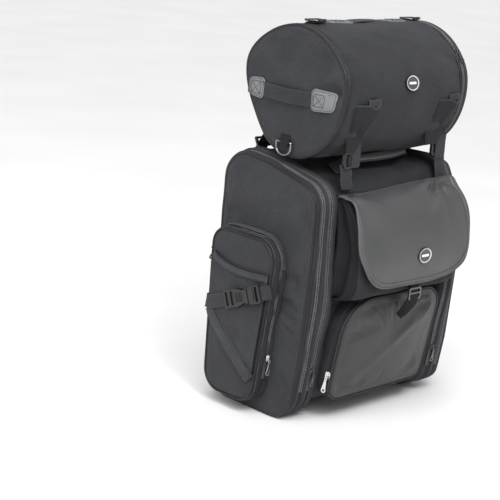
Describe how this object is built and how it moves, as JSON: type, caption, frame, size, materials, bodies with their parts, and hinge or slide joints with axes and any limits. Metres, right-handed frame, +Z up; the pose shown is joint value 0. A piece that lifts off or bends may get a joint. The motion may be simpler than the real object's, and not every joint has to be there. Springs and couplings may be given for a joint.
{
  "type": "tail bag",
  "caption": "Upright motorcycle tail bag with side pockets, a flapped rear pocket, a zipped lower pocket and a roll bag strapped on top.",
  "frame": {"origin": "middle of the flat underside of the main bag", "axes": "+Z up, -Y towards the rear face with the flap, +X towards the bag's right side as seen from the rear"},
  "size_m": [0.4754, 0.3252, 0.6827],
  "materials": {
    "fabric": "charcoal woven polyester",
    "leather": "grey leatherette with a soft sheen",
    "patch": "light grey leatherette, box stitched",
    "webbing": "ribbed nylon webbing",
    "mesh": "open polyester mesh",
    "zip": "coil zip on woven tape",
    "plastic": "moulded acetal",
    "metal": "bright plated zinc",
    "board": "stiffener board"
  },
  "bodies": {
    "main": {"main_shell": "fabric", "base_board": "board", "bar_sleeve": "fabric", "top_carry_handle": "webbing", "rear_upper_pocket": "fabric", "rear_lower_pocket": "fabric", "rear_lower_zip": "zip", "rear_anchor_left": "plastic", "rear_anchor_right": "plastic", "left_main_zip": "zip", "right_main_zip": "zip"},
    "flap": {"rear_flap": "leather", "flap_badge": "metal", "flap_ring": "plastic", "flap_tail": "webbing"},
    "lower_lid": {"rear_lower_panel": "leather"},
    "lower_slider": {"rear_lower_slider": "metal"},
    "lower_pull": {"rear_lower_pull": "metal"},
    "roll": {"roll_shell": "fabric", "roll_sleeve_left": "fabric", "roll_sleeve_right": "fabric", "rear_strap_left": "webbing", "rear_strap_right": "webbing", "roll_handle": "webbing", "roll_patch_left": "patch", "roll_patch_right": "patch", "roll_tab_left": "webbing", "roll_tab_right": "webbing", "end_handle": "webbing", "end_tab": "webbing", "roll_badge": "metal"},
    "roll_cap": {"roll_end_cap": "fabric"},
    "roll_slider": {"roll_slider": "metal"},
    "roll_ring_left": {"roll_ring_left": "metal"},
    "roll_ring_right": {"roll_ring_right": "metal"},
    "end_ring": {"end_ring": "metal"},
    "left_door": {"left_side_panel": "fabric", "left_pocket_frame": "fabric", "left_pocket_zip": "zip"},
    "left_pocket_lid": {"left_pocket_front": "fabric", "left_mesh_pocket": "mesh", "left_front_web": "webbing", "left_rear_web": "webbing", "left_buckle_male": "plastic"},
    "left_buckle": {"left_buckle_female": "plastic"},
    "left_pocket_slider": {"left_pocket_slider": "metal"},
    "left_pocket_pull": {"left_pocket_pull": "metal"},
    "left_main_slider": {"left_main_slider": "metal"},
    "right_door": {"right_side_panel": "fabric", "right_pocket_frame": "fabric", "right_pocket_zip": "zip"},
    "right_pocket_lid": {"right_pocket_front": "fabric", "right_mesh_pocket": "mesh", "right_front_web": "webbing", "right_rear_web": "webbing", "right_buckle_male": "plastic"},
    "right_buckle": {"right_buckle_female": "plastic"},
    "right_pocket_slider": {"right_pocket_slider": "metal"},
    "right_pocket_pull": {"right_pocket_pull": "metal"},
    "right_main_slider": {"right_main_slider": "metal"}
  },
  "joints": [
    {"name": "flap_hinge", "type": "hinge", "parent": "main", "child": "flap", "pos_m": [0, -0.112, 0.406], "axis": [-1, 0, 0], "range_deg": [0, 88]},
    {"name": "lower_lid_hinge", "type": "hinge", "parent": "main", "child": "lower_lid", "pos_m": [0, -0.12131, 0.02758], "axis": [1, 0, 0], "range_deg": [0, 70]},
    {"name": "lower_slider_slide", "type": "slide", "parent": "main", "child": "lower_slider", "axis": [0.0566, -0.1286, 0.9901], "range_m": [0, 0.08]},
    {"name": "lower_pull_hinge", "type": "hinge", "parent": "lower_slider", "child": "lower_pull", "pos_m": [-0.1287, -0.1215, 0.07797], "axis": [0, 0.9917, 0.1288], "range_deg": [0, 120]},
    {"name": "roll_lift", "type": "slide", "parent": "main", "child": "roll", "axis": [0, 0, 1], "range_m": [0, 0.12]},
    {"name": "roll_cap_hinge", "type": "hinge", "parent": "roll", "child": "roll_cap", "pos_m": [0.1503, -0.015, 0.452], "axis": [0, 1, 0], "range_deg": [0, 70]},
    {"name": "roll_slider_orbit", "type": "hinge", "parent": "roll", "child": "roll_slider", "pos_m": [0.1435, -0.015, 0.562], "axis": [-1, 0, 0], "range_deg": [0, 150]},
    {"name": "roll_ring_left_hinge", "type": "hinge", "parent": "roll", "child": "roll_ring_left", "pos_m": [-0.121, -0.00175, 0.6775], "axis": [-1, 0, 0], "range_deg": [0, 90]},
    {"name": "roll_ring_right_hinge", "type": "hinge", "parent": "roll", "child": "roll_ring_right", "pos_m": [0.121, -0.00175, 0.6775], "axis": [-1, 0, 0], "range_deg": [0, 90]},
    {"name": "end_ring_hinge", "type": "hinge", "parent": "roll", "child": "end_ring", "pos_m": [-0.1658, -0.012, 0.47825], "axis": [0, 1, 0], "range_deg": [0, 90]},
    {"name": "left_door_hinge", "type": "hinge", "parent": "main", "child": "left_door", "pos_m": [-0.1503, 0, 0], "axis": [0, -1, 0], "range_deg": [0, 75]},
    {"name": "left_pocket_lid_hinge", "type": "hinge", "parent": "left_door", "child": "left_pocket_lid", "pos_m": [-0.2166, 0, 0.022], "axis": [0, -1, 0], "range_deg": [0, 60]},
    {"name": "left_buckle_release", "type": "slide", "parent": "left_pocket_lid", "child": "left_buckle", "axis": [0, 0.9336, -0.3584], "range_m": [0, 0.026]},
    {"name": "left_pocket_slider_slide", "type": "slide", "parent": "left_door", "child": "left_pocket_slider", "axis": [0, -0.1056, 0.9944], "range_m": [0, 0.14]},
    {"name": "left_pocket_pull_hinge", "type": "hinge", "parent": "left_pocket_slider", "child": "left_pocket_pull", "pos_m": [-0.2, -0.047, 0.1065], "axis": [-1, 0, 0], "range_deg": [0, 120]},
    {"name": "left_main_slider_slide", "type": "slide", "parent": "main", "child": "left_main_slider", "axis": [0, -0.142, 0.9899], "range_m": [0, 0.11]},
    {"name": "right_door_hinge", "type": "hinge", "parent": "main", "child": "right_door", "pos_m": [0.1503, 0, 0], "axis": [0, 1, 0], "range_deg": [0, 75]},
    {"name": "right_pocket_lid_hinge", "type": "hinge", "parent": "right_door", "child": "right_pocket_lid", "pos_m": [0.2166, 0, 0.022], "axis": [0, 1, 0], "range_deg": [0, 60]},
    {"name": "right_buckle_release", "type": "slide", "parent": "right_pocket_lid", "child": "right_buckle", "axis": [0, 0.9336, -0.3584], "range_m": [0, 0.026]},
    {"name": "right_pocket_slider_slide", "type": "slide", "parent": "right_door", "child": "right_pocket_slider", "axis": [0, -0.1056, 0.9944], "range_m": [0, 0.14]},
    {"name": "right_pocket_pull_hinge", "type": "hinge", "parent": "right_pocket_slider", "child": "right_pocket_pull", "pos_m": [0.2, -0.047, 0.1065], "axis": [-1, 0, 0], "range_deg": [0, 120]},
    {"name": "right_main_slider_slide", "type": "slide", "parent": "main", "child": "right_main_slider", "axis": [0, -0.142, 0.9899], "range_m": [0, 0.11]}
  ]
}
